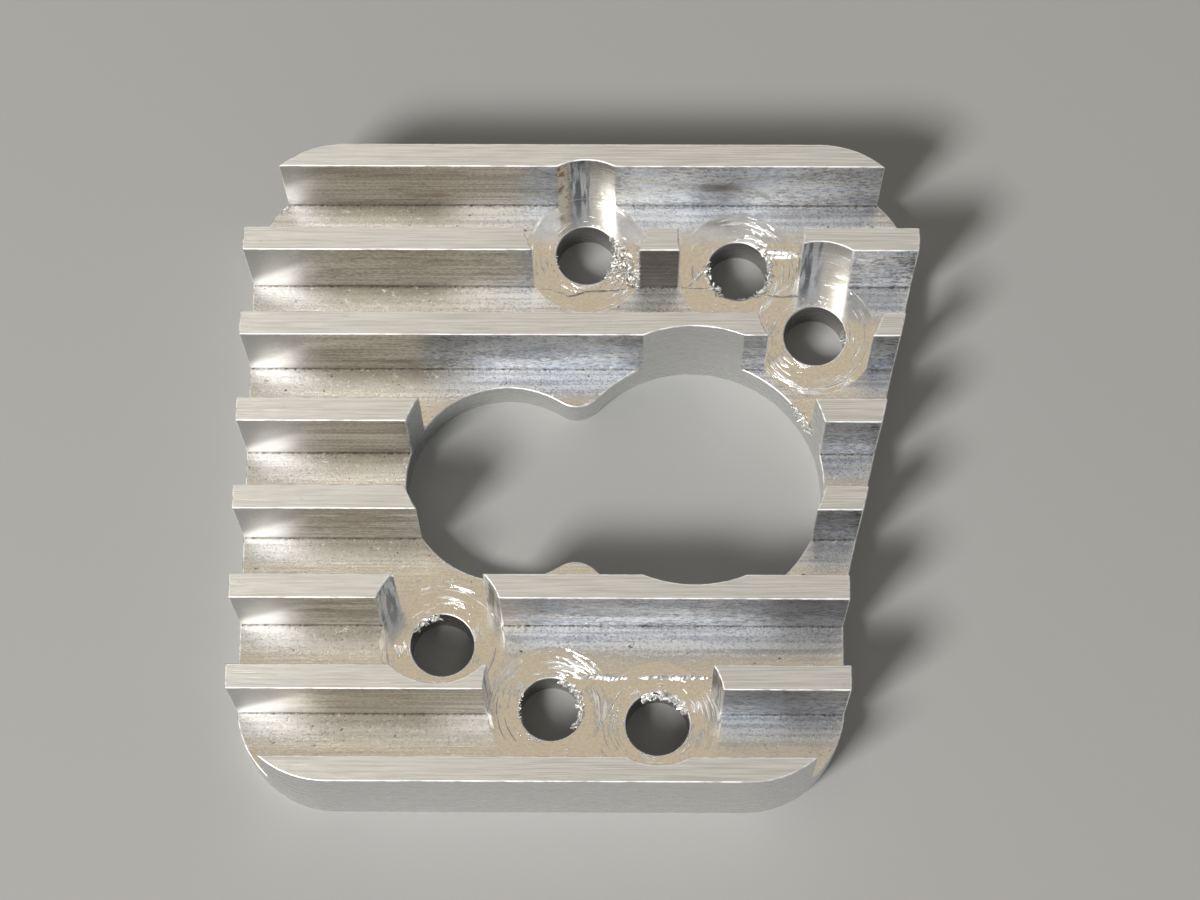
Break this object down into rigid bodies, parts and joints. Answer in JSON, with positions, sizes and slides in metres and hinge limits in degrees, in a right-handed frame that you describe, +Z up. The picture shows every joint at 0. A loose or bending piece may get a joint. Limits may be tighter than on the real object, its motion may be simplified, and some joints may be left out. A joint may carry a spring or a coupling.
{
  "type": "machined mounting block",
  "caption": "Flat finned block with rounded corners, a slanted side, a figure-eight cut-out and screw holes in round washer seats.",
  "frame": {"origin": "centre of the bounding box at the underside", "axes": "+X along the fins towards the slanted side, +Y across the fins towards the wide end, +Z up out of the base towards the fin tops"},
  "size_m": [0.0377, 0.0364, 0.0083],
  "materials": {
    "machined_aluminium": "bright machined"
  },
  "bodies": {
    "root": {"mounting_block": "machined_aluminium"}
  },
  "joints": []
}
